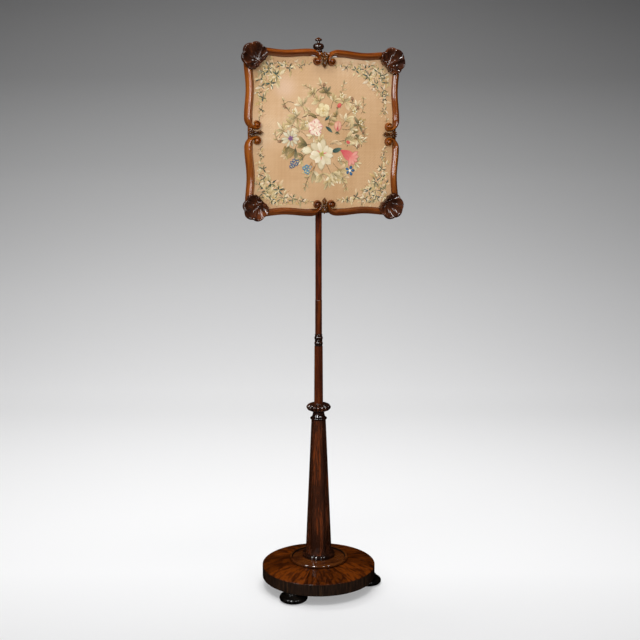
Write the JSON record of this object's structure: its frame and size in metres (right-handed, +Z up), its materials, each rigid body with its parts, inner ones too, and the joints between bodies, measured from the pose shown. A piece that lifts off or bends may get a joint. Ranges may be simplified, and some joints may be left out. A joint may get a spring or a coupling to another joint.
{
  "type": "pole screen",
  "caption": "Pole screen with a square needlework panel in a carved scroll and shell frame that slides and turns on a pole above a hexagonal column, round veneered base and bun feet.",
  "frame": {"origin": "on the floor, where the pole's axis meets it", "axes": "+Z up along the pole, -Y the way the needlework faces, +X to the right seen from the front"},
  "size_m": [0.4534, 0.3324, 1.5008],
  "materials": {
    "ebonised_wood": "gloss",
    "pine": "matte",
    "rosewood_veneer": "gloss",
    "rosewood": "gloss",
    "wool_canvas": "matte",
    "cotton_lining": "matte",
    "brass": "satin"
  },
  "bodies": {
    "stand": {"foot_front": "ebonised_wood", "foot_right": "ebonised_wood", "foot_back": "ebonised_wood", "base_core": "pine", "top_veneer": "rosewood_veneer", "edge_band": "rosewood_veneer", "plinth": "rosewood", "foot_ring": "rosewood", "column": "rosewood", "collar": "rosewood", "knop": "rosewood", "lower_pole": "rosewood"},
    "pole": {"middle_pole": "rosewood", "upper_pole": "rosewood", "finial": "rosewood"},
    "panel": {"top_rail": "rosewood", "bottom_rail": "rosewood", "left_rail": "rosewood", "right_rail": "rosewood", "shell_top_left": "rosewood", "shell_top_right": "rosewood", "shell_bottom_left": "rosewood", "shell_bottom_right": "rosewood", "clasp_top": "rosewood", "clasp_bottom": "rosewood", "clasp_left": "rosewood", "clasp_right": "rosewood", "needlework": "wool_canvas", "strainer_top": "pine", "strainer_bottom": "pine", "strainer_left": "pine", "strainer_right": "pine", "back_lining": "cotton_lining", "holding_pins": "brass", "upper_bracket": "brass", "lower_bracket": "brass", "upper_bracket_screws": "brass", "lower_bracket_screws": "brass"},
    "thumb_screw": {"thumb_screw": "brass"}
  },
  "joints": [
    {"name": "pole_turn", "type": "hinge", "parent": "stand", "child": "pole", "pos_m": [0, 0, 0.712], "axis": [0, 0, 1], "continuous": true},
    {"name": "panel_slide", "type": "slide", "parent": "pole", "child": "panel", "axis": [0, 0, 1], "range_m": [-0.329, 0.0045]},
    {"name": "screw_turn", "type": "hinge", "parent": "panel", "child": "thumb_screw", "pos_m": [0, 0.02, 1.0488], "axis": [0, 1, 0], "range_deg": [-720, 0]}
  ]
}
